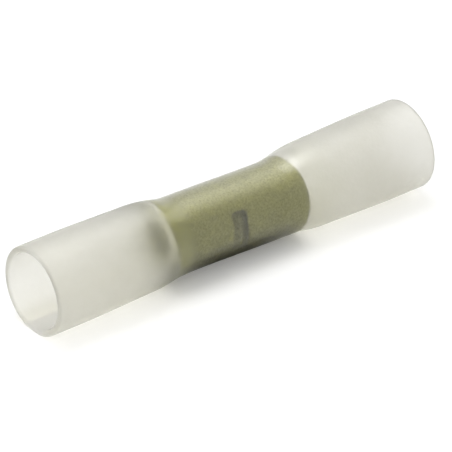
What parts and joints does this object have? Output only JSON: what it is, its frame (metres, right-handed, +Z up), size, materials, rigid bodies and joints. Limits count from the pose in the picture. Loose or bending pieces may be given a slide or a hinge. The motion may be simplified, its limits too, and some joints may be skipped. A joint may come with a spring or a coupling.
{
  "type": "heat-shrink butt splice connector",
  "caption": "Translucent heat-shrink sleeve, wide and open at both ends and shrunk in the middle onto a metal crimp barrel with a punched wire stop, for joining wires end to end.",
  "frame": {"origin": "middle of the connector, on the common axis of sleeve and barrel", "axes": "+X along the connector's axis, +Z up as it lies on a table, the wire stop on the -Y side"},
  "size_m": [0.042, 0.0084, 0.0083],
  "materials": {
    "sleeve_polyolefin": "milky translucent polyolefin, satin",
    "barrel_tinned_copper": "dull tin plating on copper"
  },
  "bodies": {
    "root": {"heat_shrink_sleeve": "sleeve_polyolefin", "crimp_barrel": "barrel_tinned_copper"}
  },
  "joints": []
}
